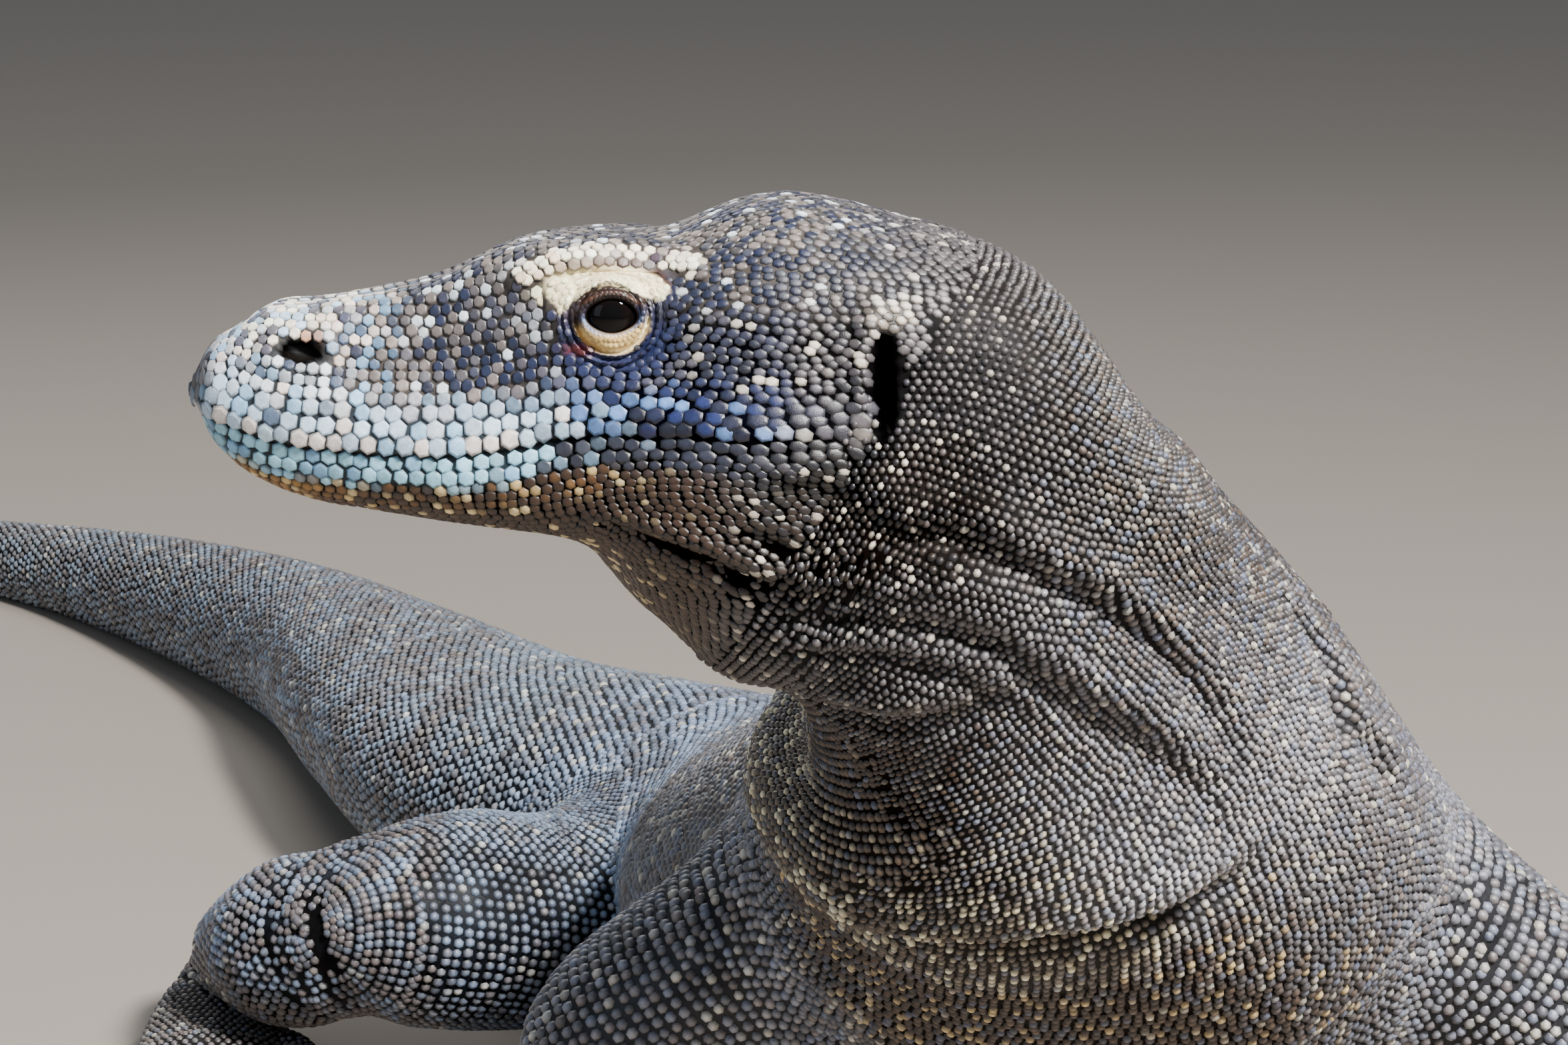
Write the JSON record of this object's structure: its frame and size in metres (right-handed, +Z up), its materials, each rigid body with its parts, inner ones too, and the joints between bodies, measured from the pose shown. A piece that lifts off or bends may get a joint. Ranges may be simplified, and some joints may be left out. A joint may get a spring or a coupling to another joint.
{
  "type": "komodo dragon",
  "caption": "Life-size monitor lizard, forequarters raised on its forelegs, head turned to its right with the mouth closed, belly, hips and tail resting on the floor.",
  "frame": {"origin": "centre of the bounding box's footprint, at the floor", "axes": "+Z up; the chest faces -Y and the body runs back towards +Y; the snout points to -X, the animal's own right; the tail's tip bends to -X"},
  "size_m": [1.401, 2.0436, 0.5386],
  "materials": {
    "face": "small polygonal scales, satin, dusty, cream to bluish on the snout and brown on the temples",
    "eye": "glossy and wet, near-black brown",
    "hide": "beaded scales, matt, dusty grey-brown",
    "horn": "dark horn, worn satin, dusty"
  },
  "bodies": {
    "root": {"head": "face", "lower_jaw": "face", "eye_left": "eye", "eye_right": "eye", "neck_upper": "hide", "neck_lower": "hide", "chest": "hide", "belly": "hide", "hips": "hide", "tail_base": "hide", "tail_middle": "hide", "tail_end": "hide", "upper_arm_left": "hide", "forearm_left": "hide", "hand_left": "hide", "thigh_left": "hide", "shank_left": "hide", "foot_left": "hide", "upper_arm_right": "hide", "forearm_right": "hide", "hand_right": "hide", "thigh_right": "hide", "shank_right": "hide", "foot_right": "hide", "claw_hand_left_1": "horn", "claw_hand_left_2": "horn", "claw_hand_left_3": "horn", "claw_hand_left_4": "horn", "claw_hand_left_5": "horn", "claw_hand_right_1": "horn", "claw_hand_right_2": "horn", "claw_hand_right_3": "horn", "claw_hand_right_4": "horn", "claw_hand_right_5": "horn", "claw_foot_left_1": "horn", "claw_foot_left_2": "horn", "claw_foot_left_3": "horn", "claw_foot_left_4": "horn", "claw_foot_left_5": "horn", "claw_foot_right_1": "horn", "claw_foot_right_2": "horn", "claw_foot_right_3": "horn", "claw_foot_right_4": "horn", "claw_foot_right_5": "horn"}
  },
  "joints": []
}
